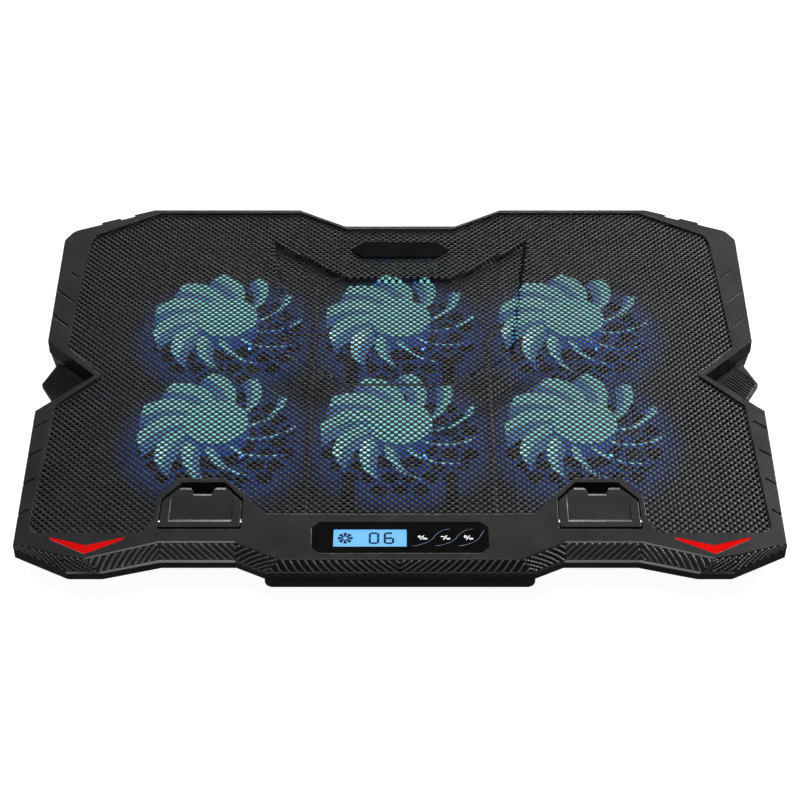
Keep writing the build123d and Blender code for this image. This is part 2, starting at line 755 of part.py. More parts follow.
board_z = height - board_top - board_t
with BuildPart() as lcd_module:
    with BuildSketch(Plane.XY.offset(board_z + board_t)):
        with Locations((lcd_x, lens_cy)):
            Rectangle(lcd_w + 3, lcd_d + 2.6)
    extrude(amount=lens_z - 0.2 - board_z - board_t)
    with BuildSketch(Plane.XY.offset(lens_z - 0.2)):
        with Locations((lcd_x, lens_cy)):
            Rectangle(lcd_w - 0.4, lcd_d - 0.4)
    extrude(amount=lens_t - 0.3)
save(lcd_module.part, "lcd_module")

switch_z = board_z + board_t
for x, name in zip(key_x, ("key_plus", "key_minus", "key_light")):
    with BuildPart() as key:
        with BuildSketch(Plane.XY.offset(lens_z - 1)):
            with Locations((x, lens_cy)):
                Circle(key_r)
        extrude(amount=1 + lens_t - 0.05)
        with BuildSketch(Plane.XY.offset(lens_z - 1)):
            with Locations((x, lens_cy)):
                Circle(key_r + 0.9)
        extrude(amount=0.8)
        with BuildSketch(Plane.XY.offset(switch_z + switch_h + key_travel + 0.45)):
            with Locations((x, lens_cy)):
                Circle(1.5)
        extrude(until=Until.NEXT)
    save(key.part, name)

with BuildPart() as tact_switches:
    with BuildSketch(Plane.XY.offset(switch_z)):
        with Locations(*[(x, lens_cy) for x in key_x]):
            Rectangle(6, 6)
    extrude(amount=switch_h)
    with BuildSketch(Plane.XY.offset(switch_z + switch_h)):
        with Locations(*[(x, lens_cy) for x in key_x]):
            Circle(1.7)
    extrude(amount=0.4)
save(tact_switches.part, "tact_switches")

with BuildPart() as control_board:
    with BuildSketch(Plane.XY.offset(board_z)):
        with Locations((0, lens_cy)):
            Rectangle(2 * board_half, board_d)
        with Locations(*board_holes):
            Circle(1.2, mode=Mode.SUBTRACT)
    extrude(amount=board_t)
save(control_board.part, "control_board")

# ---------------------------------------------------------------- sockets
supply_z = floor_z + 4 - board_t
with BuildPart() as supply_board:
    with BuildSketch(Plane.XY.offset(supply_z)):
        with Locations((0, supply_y)):
            Rectangle(46, supply_d)
        with Locations(*supply_holes):
            Circle(1.2, mode=Mode.SUBTRACT)
    extrude(amount=board_t)
save(supply_board.part, "supply_board")

for side, name in ((-1, "power_socket_left"), (1, "power_socket_right")):
    mouth_y = port_y - reveal - 0.4
    with BuildPart() as socket:
        with BuildSketch(Plane.XZ.offset(-mouth_y)):
            with Locations((side * socket_x, socket_z)):
                Rectangle(socket_w, socket_h)
        extrude(amount=socket_l)
        with BuildSketch(Plane.XZ.offset(-mouth_y)):
            with Locations((side * socket_x, socket_z)):
                Rectangle(socket_w - 0.7, socket_h - 0.7)
            with Locations((side * socket_x, socket_z + 0.9)):
                Rectangle(socket_w - 2.2, 1.8, mode=Mode.SUBTRACT)
        extrude(amount=socket_l - 2, mode=Mode.SUBTRACT)
    save(socket.part, name)

# ---------------------------------------------------------------- legs
for side, name in ((-1, "left"), (1, "right")):
    cx = side * leg_x
    leg_z = foot_h + 0.4
    tip_y = leg_y - leg_l
    pad_y = tip_y + leg_pad_l
    with BuildPart() as leg:
        with BuildSketch(Plane.XY.offset(leg_z)):
            with Locations((cx, (leg_y + pad_y) / 2)):
                Rectangle(leg_w, leg_y - pad_y)
            with Locations((cx, pad_y)):
                Rectangle(2 * leg_finger_half, 2 * (leg_finger_depth - leg_pad_l), mode=Mode.SUBTRACT)
        extrude(amount=leg_t)
        with BuildSketch(Plane.YZ.offset(cx)):
            with Locations((leg_y, foot_h + 2.6)):
                Circle(2.2)
        extrude(amount=leg_w / 2, both=True)
        with BuildSketch(Plane.YZ.offset(cx)):
            with Locations((leg_y, foot_h + 2.6)):
                Circle(leg_pin_r + pin_gap)
        extrude(amount=leg_w, both=True, mode=Mode.SUBTRACT)
    save(leg.part, f"leg_{name}")
    pad_w = leg_w / 2 - leg_finger_half
    with BuildPart() as pads:
        with BuildSketch(Plane.XY.offset(leg_z)):
            for end in (-1, 1):
                with Locations((cx + end * (leg_finger_half + pad_w / 2), tip_y + leg_pad_l / 2)):
                    Rectangle(pad_w, leg_pad_l)
        extrude(amount=leg_t)
    save(pads.part, f"leg_pads_{name}")

with BuildPart() as leg_pins:
    for side in (-1, 1):
        with BuildSketch(Plane.YZ.offset(side * leg_x)):
            with Locations((leg_y, foot_h + 2.6)):
                Circle(leg_pin_r)
        extrude(amount=leg_w / 2 + 2.2, both=True)
save(leg_pins.part, "leg_pins")

# ---------------------------------------------------------------- fasteners and wiring
with BuildPart() as screws:
    with BuildSketch(Plane.XY.offset(foot_h + 0.4)):
        with Locations(*case_screws):
            Circle(screw_head_r)
    extrude(amount=1.4)
    with BuildSketch(Plane.XY.offset(foot_h + 1.8)):
        with Locations(*case_screws):
            Circle(screw_r - 0.05)
    extrude(amount=10)
save(screws.part, "case_screws")

with BuildPart() as board_screws:
    for holes, z, up in ((board_holes, board_z, 1), (supply_holes, supply_z + board_t, -1)):
        with BuildSketch(Plane.XY.offset(z)):
            with Locations(*holes):
                Circle(0.95)
        extrude(amount=up * 5)
        with BuildSketch(Plane.XY.offset(z)):
            with Locations(*holes):
                Circle(2.2)
        extrude(amount=-up * 1.2)
save(board_screws.part, "board_screws")

trunk_x = fan_dx / 2
trunk_r = 1.4
wire_z = floor_z + trunk_r + 0.1
with BuildPart() as wiring:
    for side, end in ((-1, (-27, supply_y - 6, wire_z)), (1, (trunk_x + 6, fans[5][1] + 8, wire_z))):
        turn_y = end[1] - 16
        with BuildLine() as route:
            FilletPolyline((side * 40, lens_cy, board_z - trunk_r - 1.3),
                           (side * trunk_x, lens_cy + 16, wire_z),
                           (side * trunk_x, turn_y, wire_z), end, radius=8)
        with BuildSketch(Plane(route.line @ 0, z_dir=route.line % 0)):
            Circle(trunk_r)
        sweep(path=route.line)
    for cx, cy in fans:
        toward = 1 if cx < 0 else -1
        trunk = trunk_x if cx > fan_dx / 2 else -trunk_x
        start = cx + toward * (motor_r + 0.4)
        stop = trunk - toward * (trunk_r + 0.3)
        with BuildSketch(Plane(origin=(start, cy, floor_z + 1), z_dir=(toward, 0, 0))):
            Circle(0.7)
        extrude(amount=abs(stop - start))
save(wiring.part, "wiring")
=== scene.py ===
# %% [markdown]
# A laptop cooling pad: a flat black deck with a perforated sheet over six lit fans.
# The solid parts come in as a fixed frame, in metres, and are never moved. This lesson gives
# them their finishes and adds the fine pieces that are only for show.

# %% Load the frame
import json
import math

import bpy
import numpy as np
from mathutils import Matrix, Vector


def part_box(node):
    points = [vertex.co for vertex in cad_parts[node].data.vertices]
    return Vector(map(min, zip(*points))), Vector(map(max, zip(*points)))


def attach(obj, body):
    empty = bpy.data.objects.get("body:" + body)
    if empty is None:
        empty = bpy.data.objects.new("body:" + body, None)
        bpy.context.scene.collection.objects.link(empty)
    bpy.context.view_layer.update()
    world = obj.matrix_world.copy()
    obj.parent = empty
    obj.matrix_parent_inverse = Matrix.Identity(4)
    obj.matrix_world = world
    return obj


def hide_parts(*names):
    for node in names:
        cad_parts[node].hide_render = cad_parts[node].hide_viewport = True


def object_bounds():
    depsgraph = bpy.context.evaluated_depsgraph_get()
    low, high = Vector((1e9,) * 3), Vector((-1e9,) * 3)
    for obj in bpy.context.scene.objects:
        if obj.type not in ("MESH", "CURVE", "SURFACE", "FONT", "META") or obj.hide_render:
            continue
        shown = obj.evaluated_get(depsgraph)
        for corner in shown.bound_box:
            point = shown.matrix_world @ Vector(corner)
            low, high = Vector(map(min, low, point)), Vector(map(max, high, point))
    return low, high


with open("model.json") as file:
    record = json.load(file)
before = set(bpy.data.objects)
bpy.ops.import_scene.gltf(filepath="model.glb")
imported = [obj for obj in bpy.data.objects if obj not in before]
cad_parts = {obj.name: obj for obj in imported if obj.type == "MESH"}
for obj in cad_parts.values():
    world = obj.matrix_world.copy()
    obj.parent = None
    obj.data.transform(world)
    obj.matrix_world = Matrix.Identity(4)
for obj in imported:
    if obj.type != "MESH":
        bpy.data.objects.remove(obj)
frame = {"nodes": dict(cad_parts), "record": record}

cad_low, cad_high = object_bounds()
nodes = frame["nodes"]
MM = 0.001
half_w = cad_high.x
lip_y = cad_low.y
rear_y = cad_high.y
deck_z = cad_high.z
extent = [round((b - a) / MM, 1) for a, b in zip(cad_low, cad_high)]
print("frame:", len(nodes), "parts,", extent, "mm")

# %% [markdown]
# The camera looks down on the pad from the front, through a long lens, so that its sides
# stay nearly parallel. It is placed first, because every other choice is judged through it.

# %% Camera
look_down = math.radians(40.65)
aim = Vector((0, -0.0261, deck_z))
distance = 1.0746
bpy.ops.object.camera_add(
    location=aim + distance * Vector((0, -math.cos(look_down), math.sin(look_down))),
    rotation=(math.pi / 2 - look_down, 0, 0))
camera = bpy.context.object
camera.name = "camera"
camera.data.lens = 88.2
camera.data.sensor_width = 36
bpy.context.scene.camera = camera
bpy.context.scene.view_settings.view_transform = "Standard"
print("camera at", [round(v, 3) for v in camera.location])


# %% Small helpers for selecting and finishing
def select_only(*pieces):
    """Leaves edit mode and selects just these pieces, the first of them active."""
    if bpy.context.object and bpy.context.object.mode != "OBJECT":
        bpy.ops.object.mode_set(mode="OBJECT")
    bpy.ops.object.select_all(action="DESELECT")
    for piece in pieces:
        piece.select_set(True)
    if pieces:
        bpy.context.view_layer.objects.active = pieces[0]


def select_faces(piece, wanted):
    """Selects the faces that a list of yes and no picks, ready for edit mode."""
    select_only(piece)
    mesh = piece.data
    mesh.vertices.foreach_set("select", np.zeros(len(mesh.vertices), bool))
    mesh.edges.foreach_set("select", np.zeros(len(mesh.edges), bool))
    mesh.polygons.foreach_set("select", np.asarray(wanted, bool))
    bpy.ops.object.mode_set(mode="EDIT")
    bpy.ops.mesh.select_mode(type="FACE")


def face_centres(piece):
    centres = np.zeros(len(piece.data.polygons) * 3, np.float32)
    piece.data.polygons.foreach_get("center", centres)
    return centres.reshape(-1, 3)


def finish_piece(piece, name, body, finish):
    """Settles a new piece at the origin, names it, gives its finish and says what it rides on."""
    select_only(piece)
    bpy.ops.object.transform_apply(location=True, rotation=True, scale=True)
    piece.name = name
    piece.data.name = name
    piece.data.materials.clear()
    piece.data.materials.append(finish)
    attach(piece, body)
    print(f"{name}: {len(piece.data.polygons)} faces")
    return piece


def copy_at(piece, matrix):
    """A copy with its own mesh, placed by a matrix."""
    other = piece.copy()
    other.data = piece.data.copy()
    other.matrix_world = matrix
    bpy.context.collection.objects.link(other)
    return other


def join(pieces):
    """Joins pieces into the first one."""
    select_only(*pieces)
    bpy.ops.object.join()
    return bpy.context.object


def remove(piece):
    select_only()
    bpy.data.objects.remove(piece)


# %% [markdown]
# The pad stands on a pale floor inside a large pale ball, so that low views also end in white.
# Both shine a little by themselves. Both are hidden from mirrored and scattered rays, because
# glossy black plastic would mirror them and look grey.

# %% Floor and backdrop
floor_size = 30
backdrop_radius = 20
bpy.ops.mesh.primitive_plane_add(size=floor_size, location=(0, 0, 0))
floor = bpy.context.object
floor.name = "floor"
floor_finish = bpy.data.materials.new("pale_floor")
floor_finish.use_nodes = True
floor_shader = floor_finish.node_tree.nodes["Principled BSDF"]
floor_shader.inputs["Base Color"].default_value = (0.3, 0.3, 0.3, 1)
floor_shader.inputs["Roughness"].default_value = 0.9
floor_shader.inputs["Emission Color"].default_value = (1, 1, 1, 1)
floor_shader.inputs["Emission Strength"].default_value = 0.95
select_only()
bpy.ops.mesh.primitive_uv_sphere_add(segments=48, ring_count=24, radius=backdrop_radius)
backdrop = bpy.context.object
backdrop.name = "backdrop"
for pale in (floor, backdrop):
    pale.data.materials.append(floor_finish)
    pale.visible_glossy = False
    pale.visible_diffuse = False
backdrop.visible_shadow = False
print("floor:", floor_size, "m wide, in a ball of radius", backdrop_radius, "m")

# %% [markdown]
# A dark mat lies under the pad, a little smaller than the case, as painted shade: it stands in
# for the shade under the pad, so that the pale floor does not show through the vents and the
# sheet's holes.

# %% Dark mat under the pad, as painted shade
mat_width = 1.7 * half_w
mat_depth = 0.72 * (rear_y - lip_y)
mat_place = (0, 10 * MM, 0.2 * MM)
select_only()
bpy.ops.mesh.primitive_plane_add(size=1, location=mat_place)
mat = bpy.context.object
mat.name = "dark_mat"
bpy.ops.transform.resize(value=(mat_width, mat_depth, 1))
painted_shade_finish = bpy.data.materials.new("dark_mat")
painted_shade_finish.use_nodes = True
painted_shade_shader = painted_shade_finish.node_tree.nodes["Principled BSDF"]
# painted shade: near black, standing in for the shade under the pad
painted_shade_shader.inputs["Base Color"].default_value = (0.01, 0.01, 0.01, 1)
mat.data.materials.append(painted_shade_finish)
print("mat:", round(mat_width / MM), "by", round(mat_depth / MM), "mm")

# %% [markdown]
# Black plastic is seen by what it mirrors. A wide soft light high above keeps its faces
# readable. A small one behind, to the right, and a low one straight behind draw the bright
# lines along the edges that tilt back.

# %% Lights and sky
def soft_light(name, place, size, power):
    """A square soft light that faces the middle of the deck."""
    toward = Vector((0, 0, deck_z)) - Vector(place)
    bpy.ops.object.light_add(type="AREA", location=place,
                             rotation=toward.to_track_quat("-Z", "Y").to_euler())
    light = bpy.context.object
    light.name = name
    light.data.size = size
    light.data.energy = power
    print(name, "at", place)


soft_light("light_above", (-0.2, -0.3, 3.0), 1.6, 65)
soft_light("light_rear_right", (0.75, 0.6, 0.5), 0.35, 22)
soft_light("light_rear_low", (0.0, 2.2, 0.6), 0.6, 20)
sky = bpy.data.worlds.new("studio")
sky.use_nodes = True
sky_shader = sky.node_tree.nodes["Background"]
sky_shader.inputs["Color"].default_value = (0.97, 0.98, 1, 1)
sky_shader.inputs["Strength"].default_value = 0.16
bpy.context.scene.world = sky

# %% [markdown]
# The solids came with plain colours named after their slots. Those are removed first, so that
# the finishes below get these names to themselves and are the ones found by name.

# %% Clear the plain colours
for plain in list(bpy.data.materials):
    if plain not in (floor_finish, painted_shade_finish):
        bpy.data.materials.remove(plain)
print("materials left:", [left.name for left in bpy.data.materials])

# %% [markdown]
# Every finish is made of nodes. Most of them are the same idea: two near shades mixed by
# noise, a roughness that wanders a little, and a fine grain as bump. One helper makes those,
# and the lit and transparent finishes add their own nodes to it.

# %% Helpers for finishes
roughness_wander = 0.02
grain_depth = 0.2 * MM


def node(finish, kind, inputs=None, **settings):
    made = finish.node_tree.nodes.new(kind)
    for key, value in settings.items():
        setattr(made, key, value)
    for key, value in (inputs or {}).items():
        made.inputs[key].default_value = value
    return made


def link(finish, out, into):
    finish.node_tree.links.new(out, into)


def shade(colour):
    return (*colour, 1)


def set_ramp(ramp, *stops):
    """Gives the two ends of a colour ramp their places and colours."""
    for element, (position, colour) in zip(ramp.elements, stops):
        element.position = position
        element.color = shade(colour)


def grained(name, dark, light, roughness, patch=60, grain=1800, bump=0.15, edge=0.0, **sockets):
    """A finish of two shades with grain. edge rounds the corners by that radius, in metres."""
    finish = bpy.data.materials.new(name)
    finish.use_nodes = True
    shader = finish.node_tree.nodes["Principled BSDF"]
    for key, value in sockets.items():
        shader.inputs[key.replace("_", " ")].default_value = value
    place = node(finish, "ShaderNodeTexCoord")
    clouds = node(finish, "ShaderNodeTexNoise", {"Scale": patch, "Detail": 4.0})
    link(finish, place.outputs["Object"], clouds.inputs["Vector"])
    shades = node(finish, "ShaderNodeValToRGB")
    set_ramp(shades.color_ramp, (0.35, dark), (0.65, light))
    link(finish, clouds.outputs["Fac"], shades.inputs["Fac"])
    link(finish, shades.outputs["Color"], shader.inputs["Base Color"])
    wander = node(finish, "ShaderNodeMapRange",
                  {"To Min": roughness - roughness_wander, "To Max": roughness + roughness_wander})
    link(finish, clouds.outputs["Fac"], wander.inputs["Value"])
    link(finish, wander.outputs["Result"], shader.inputs["Roughness"])
    fine = node(finish, "ShaderNodeTexNoise", {"Scale": grain, "Detail": 2.0})
    link(finish, place.outputs["Object"], fine.inputs["Vector"])
    relief = node(finish, "ShaderNodeBump", {"Strength": bump, "Distance": grain_depth})
    link(finish, fine.outputs["Fac"], relief.inputs["Height"])
    if edge:
        rounded = node(finish, "ShaderNodeBevel", {"Radius": edge}, samples=4)
        link(finish, rounded.outputs["Normal"], relief.inputs["Normal"])
    link(finish, relief.outputs["Normal"], shader.inputs["Normal"])
    return finish


# %% Finishes of the pad
case_look = dict(dark=(0.011, 0.0113, 0.0117), light=(0.015, 0.0153, 0.0158), roughness=0.27,
                 bump=0.03, edge=0.4 * MM, Specular_IOR_Level=0.3)
case_black = grained("case_black", **case_look)
mesh_black = grained("mesh_black", (0.007, 0.0072, 0.0075), (0.011, 0.0113, 0.0117), 0.42,
                     grain=900, Specular_IOR_Level=0.11)
badge_black = grained("badge_black", (0.001, 0.001, 0.001), (0.002, 0.002, 0.002), 0.15,
                      bump=0.02, Specular_IOR_Level=0.08)
trim_black = grained("trim_black", (0.003, 0.003, 0.003), (0.005, 0.005, 0.005), 0.5, patch=400,
                     Specular_IOR_Level=0.06)
cord_grey = grained("cord_grey", (0.022, 0.0224, 0.023), (0.034, 0.0345, 0.035), 0.3, patch=400)
inlay_red = grained("inlay_red", (0.42, 0.003, 0.003), (0.48, 0.004, 0.004), 0.5, bump=0.05,
                    Specular_IOR_Level=0.0)
lens_black = grained("lens_black", (0.002, 0.002, 0.002), (0.003, 0.003, 0.003), 0.12,
                     bump=0.01, Specular_IOR_Level=0.1)
board_green = grained("board_green", (0.01, 0.09, 0.03), (0.02, 0.14, 0.06), 0.3, patch=300)
switch_black = grained("switch_black", (0.02, 0.02, 0.02), (0.035, 0.035, 0.035), 0.5)
socket_steel = grained("socket_steel", (0.55, 0.55, 0.56), (0.66, 0.66, 0.67), 0.28,
                       Metallic=1.0)
pin_steel = grained("pin_steel", (0.6, 0.6, 0.61), (0.75, 0.75, 0.76), 0.25, Metallic=1.0)
rubber = grained("rubber", (0.012, 0.012, 0.012), (0.02, 0.02, 0.02), 0.75, bump=0.3)
magnet_grey = grained("magnet_grey", (0.08, 0.08, 0.085), (0.13, 0.13, 0.135), 0.5,
                      Metallic=0.6)
motor_black = grained("motor_black", (0.012, 0.012, 0.015), (0.02, 0.02, 0.024), 0.5)
wire_black = grained("wire_black", (0.01, 0.01, 0.01), (0.018, 0.018, 0.018), 0.55)


# %% Finishes that shine, and the prints on them
def lit(finish, colour, strength):
    shader = finish.node_tree.nodes["Principled BSDF"]
    shader.inputs["Emission Color"].default_value = shade(colour)
    shader.inputs["Emission Strength"].default_value = strength
    return finish


display_blue = lit(grained("display_blue", (0.03, 0.09, 0.18), (0.04, 0.10, 0.20), 0.3, bump=0.01),
                   (0.13, 0.43, 0.85), 1.0)
light_cyan = lit(grained("light_cyan", (0.1, 0.4, 0.9), (0.2, 0.6, 1.0), 0.3),
                 (0.03, 0.16, 1.0), 8.0)
icon_white = lit(grained("icon_white", (0.7, 0.7, 0.7), (0.8, 0.8, 0.8), 0.5),
                 (1, 1, 1), 0.35)
icon_navy = grained("icon_navy", (0.001, 0.006, 0.022), (0.002, 0.008, 0.028), 0.5,
                    Specular_IOR_Level=0.1)
line_blue = grained("line_blue", (0.05, 0.10, 0.18), (0.07, 0.13, 0.22), 0.4)

# %% [markdown]
# The rotors are clear plastic lit from below. Their upper faces glow teal as painted light and
# their edges and undersides go to deep blue as painted shade, so the glow is mixed by which way
# each face points on the rotor.

# %% Rotor finish
rotor_cyan = grained("rotor_cyan", (0.02, 0.12, 0.14), (0.03, 0.16, 0.18), 0.3, patch=90)
rotor_place = node(rotor_cyan, "ShaderNodeTexCoord")
rotor_up = node(rotor_cyan, "ShaderNodeSeparateXYZ")
# painted light on the upper faces, painted shade on the edges and undersides
rotor_painted_light_and_shade = node(rotor_cyan, "ShaderNodeValToRGB")
set_ramp(rotor_painted_light_and_shade.color_ramp, (0.45, (0.01, 0.05, 0.36)), (0.8, (0.20, 0.54, 0.56)))
link(rotor_cyan, rotor_place.outputs["Normal"], rotor_up.inputs["Vector"])
link(rotor_cyan, rotor_up.outputs["Z"], rotor_painted_light_and_shade.inputs["Fac"])
rotor_shader = rotor_cyan.node_tree.nodes["Principled BSDF"]
link(rotor_cyan, rotor_painted_light_and_shade.outputs["Color"], rotor_shader.inputs["Emission Color"])
rotor_shader.inputs["Emission Strength"].default_value = 1.1

# %% [markdown]
# The light that shines down past the blades is painted on the floor of the case, as a blue glow
# round every fan.
# The fans stand on a grid of three by two. Each point of the case is snapped to its nearest
# fan, and its distance from that fan sets how much it glows. Only faces that look up and lie
# near the floor take part.

# %% Painted blue light on the vents
first_fan = (-101 * MM, -35 * MM)
fan_gap = (101 * MM, 92.5 * MM)
last_fan = (2 * fan_gap[0], fan_gap[1], 0)      # counted from the first one
glow_near, glow_far = 34 * MM, 62 * MM          # full glow up to near, none from far on
glow_bottom, glow_top = 5 * MM, 8 * MM          # heights over which it fades out
# the case's own finish, with the fans' light painted on as a blue glow
case_glow = grained("case_glow", **case_look)


def glow_step(operation, by=None):
    return node(case_glow, "ShaderNodeVectorMath", {1: by} if by else None, operation=operation)


glow_place = node(case_glow, "ShaderNodeTexCoord")
glow_from_first = glow_step("ADD", (-first_fan[0], -first_fan[1], 0))
glow_half_on = glow_step("ADD", (fan_gap[0] / 2, fan_gap[1] / 2, 0.5))
glow_nearest = glow_step("SNAP", (*fan_gap, 1))
glow_last = glow_step("MINIMUM", last_fan)
glow_first = glow_step("MAXIMUM", (0, 0, 0))
glow_apart = glow_step("SUBTRACT")
glow_flat = glow_step("MULTIPLY", (1, 1, 0))
glow_away = glow_step("LENGTH")
glow_ring = node(case_glow, "ShaderNodeMapRange",
                 {"From Min": glow_near, "From Max": glow_far, "To Min": 1.0, "To Max": 0.0},
                 interpolation_type="SMOOTHSTEP")
glow_parts = node(case_glow, "ShaderNodeSeparateXYZ")
glow_low = node(case_glow, "ShaderNodeMapRange",
                {"From Min": glow_bottom, "From Max": glow_top, "To Min": 1.0, "To Max": 0.0})
glow_facing = node(case_glow, "ShaderNodeSeparateXYZ")
glow_up = node(case_glow, "ShaderNodeMapRange", {"From Min": -0.1, "From Max": 0.6})
glow_both = node(case_glow, "ShaderNodeMath", operation="MULTIPLY")
painted_glow_mask = node(case_glow, "ShaderNodeMath", operation="MULTIPLY")
painted_glow_colour = node(case_glow, "ShaderNodeValToRGB")
set_ramp(painted_glow_colour.color_ramp, (0, (0, 0, 0)), (1, (0.008, 0.05, 0.26)))

# %% Join the painted glow's nodes
case_shader = case_glow.node_tree.nodes["Principled BSDF"]
for out, into in (
        (glow_place.outputs["Object"], glow_from_first.inputs[0]),
        (glow_from_first.outputs["Vector"], glow_half_on.inputs[0]),
        (glow_half_on.outputs["Vector"], glow_nearest.inputs[0]),
        (glow_nearest.outputs["Vector"], glow_last.inputs[0]),
        (glow_last.outputs["Vector"], glow_first.inputs[0]),
        (glow_from_first.outputs["Vector"], glow_apart.inputs[0]),
        (glow_first.outputs["Vector"], glow_apart.inputs[1]),
        (glow_apart.outputs["Vector"], glow_flat.inputs[0]),
        (glow_flat.outputs["Vector"], glow_away.inputs[0]),
        (glow_away.outputs["Value"], glow_ring.inputs["Value"]),
        (glow_place.outputs["Object"], glow_parts.inputs["Vector"]),
        (glow_parts.outputs["Z"], glow_low.inputs["Value"]),
        (glow_place.outputs["Normal"], glow_facing.inputs["Vector"]),
        (glow_facing.outputs["Z"], glow_up.inputs["Value"]),
        (glow_ring.outputs["Result"], glow_both.inputs[0]),
        (glow_low.outputs["Result"], glow_both.inputs[1]),
        (glow_both.outputs["Value"], painted_glow_mask.inputs[0]),
        (glow_up.outputs["Result"], painted_glow_mask.inputs[1]),
        (painted_glow_mask.outputs["Value"], painted_glow_colour.inputs["Fac"]),
        (painted_glow_colour.outputs["Color"], case_shader.inputs["Emission Color"])):
    link(case_glow, out, into)
case_shader.inputs["Emission Strength"].default_value = 1.0

# %% [markdown]
# Each solid part names a slot, and takes the finish of that name. Only the bottom of the case
# takes the one with the painted glow, as it is the part under the fans.

# %% Give each solid part its finish
finishes = {finish.name: finish for finish in bpy.data.materials}
for part in frame["record"]["subparts"]:
    mesh = nodes[part["node"]].data
    finish = case_glow if part["node"] == "bottom_case" else finishes[part["material_slot"]]
    mesh.materials.clear()
    mesh.materials.append(finish)
print("finishes:", len(finishes))


# %% [markdown]
# The deck's sheet is steel with staggered holes. A picture of holes would not show the fans
# move behind it, so the holes are real: one diamond cell with a hexagonal hole is made once and
# repeated by array modifiers, then cut to the outline of the solid panel that it replaces.

# %% One cell of the sheet
cell = 4.167 * MM               # width and height of a diamond
hole_radius = 0.325 * cell
hole_squash = 0.9
hole_dip = 0.2 * MM             # the holes' edges are pressed down a little
sheet_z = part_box("mesh_panel")[1].z
select_only()
bpy.ops.mesh.primitive_circle_add(vertices=4, radius=cell / 2, fill_type="NOTHING")
sheet = bpy.context.object
bpy.ops.object.mode_set(mode="EDIT")
bpy.ops.mesh.select_all(action="DESELECT")
bpy.ops.mesh.primitive_circle_add(vertices=6, radius=hole_radius, rotation=(0, 0, math.pi / 2),
                                  fill_type="NOTHING")
bpy.ops.transform.resize(value=(1, hole_squash, 1))
bpy.ops.transform.translate(value=(0, 0, -hole_dip))
bpy.ops.mesh.select_all(action="SELECT")
bpy.ops.mesh.bridge_edge_loops()
bpy.ops.mesh.normals_make_consistent(inside=False)
bpy.ops.object.mode_set(mode="OBJECT")
print("cell faces:", len(sheet.data.polygons),
      "normal z", [round(p.normal.z, 2) for p in sheet.data.polygons])

# %% Repeat it over the whole deck
columns = 2 * int(half_w / cell) + 1
rows = int((rear_y - lip_y) / cell)
first_row_y = lip_y + 4.2 * cell
weld = 0.02 * MM
for number, (count, step) in enumerate((
        (columns, (cell, 0, 0)), (2, (cell / 2, cell / 2, 0)), (rows, (0, cell, 0)))):
    array = sheet.modifiers.new(f"repeat_{number}", "ARRAY")
    array.count = count
    array.use_relative_offset = False
    array.use_constant_offset = True
    array.constant_offset_displace = step
    bpy.ops.object.modifier_apply(modifier=array.name)
bpy.ops.transform.translate(value=(-(columns - 1) / 2 * cell, first_row_y, sheet_z))
bpy.ops.object.transform_apply(location=True)
bpy.ops.object.mode_set(mode="EDIT")
bpy.ops.mesh.select_all(action="SELECT")
bpy.ops.mesh.remove_doubles(threshold=weld)
bpy.ops.object.mode_set(mode="OBJECT")
print("sheet faces:", len(sheet.data.polygons))

# %% [markdown]
# The outline comes from the solid panel: a copy of it is merged and reduced to flat faces, and
# the edges round its top give both the outer outline and the edge of the sunken middle.

# %% The panel's outlines
select_only(nodes["mesh_panel"])
bpy.ops.object.duplicate()
pattern = bpy.context.object
pattern.parent = None
bpy.ops.object.mode_set(mode="EDIT")
bpy.ops.mesh.select_all(action="SELECT")
bpy.ops.mesh.remove_doubles(threshold=0.001 * MM)
bpy.ops.object.mode_set(mode="OBJECT")
near_top = sheet_z - 0.1 * MM
flat = [p for p in pattern.data.polygons if p.normal.z > 0.9 and p.center.z > near_top]
uses = {}
for face in flat:
    for key in face.edge_keys:
        uses[key] = uses.get(key, 0) + 1
rim = [key for key, count in uses.items() if count == 1]


def loops_of(edges):
    """Sorts loose edges into closed loops of points."""
    left = set(edges)
    found = []
    while left:
        a, b = left.pop()
        loop = [a, b]
        while loop[-1] != loop[0]:
            step = next(e for e in left if loop[-1] in e)
            left.remove(step)
            loop.append(step[0] if step[1] == loop[-1] else step[1])
        found.append(np.array([pattern.data.vertices[i].co.xy for i in loop[:-1]]))
    return found


def corners_only(loop):
    """Drops the points that lie on a straight run."""
    kept = []
    for i, point in enumerate(loop):
        a, b = point - loop[i - 1], loop[(i + 1) % len(loop)] - point
        if abs(a[0] * b[1] - a[1] * b[0]) > 1e-3 * np.linalg.norm(a) * np.linalg.norm(b):
            kept.append(point)
    return np.array(kept)


outlines = sorted((corners_only(loop) for loop in loops_of(rim)),
                  key=lambda loop: -np.ptp(loop[:, 0]))
outer, sunken = outlines[:2]
remove(pattern)
print("corners:", len(outer), "round the sheet and", len(sunken), "round the sunken middle")


# %% Distances from an outline
def inside(points, loop):
    """Which points are inside a loop."""
    result = np.zeros(len(points), bool)
    for a, b in zip(loop, np.roll(loop, -1, 0)):
        crosses = (a[1] > points[:, 1]) != (b[1] > points[:, 1])
        with np.errstate(divide="ignore", invalid="ignore"):
            x = a[0] + (points[:, 1] - a[1]) / (b[1] - a[1]) * (b[0] - a[0])
        result ^= crosses & (points[:, 0] < x)
    return result


def distance_to(points, a, b):
    """How far points are from the straight run between a and b."""
    along = np.clip(((points - a) @ (b - a)) / ((b - a) @ (b - a)), 0, 1)
    return np.linalg.norm(points - a - along[:, None] * (b - a), axis=1)


# %% Cut the sheet along its outline
def cut(piece, a, b):
    """Cuts the cells near the run from a to b along it."""
    near = distance_to(face_centres(piece)[:, :2], a, b) < cell
    select_faces(piece, near)
    normal = (b - a)[::-1] * (1, -1)
    bpy.ops.mesh.bisect(plane_co=(*a, sheet_z), plane_no=(*(normal / np.linalg.norm(normal)), 0))
    bpy.ops.object.mode_set(mode="OBJECT")


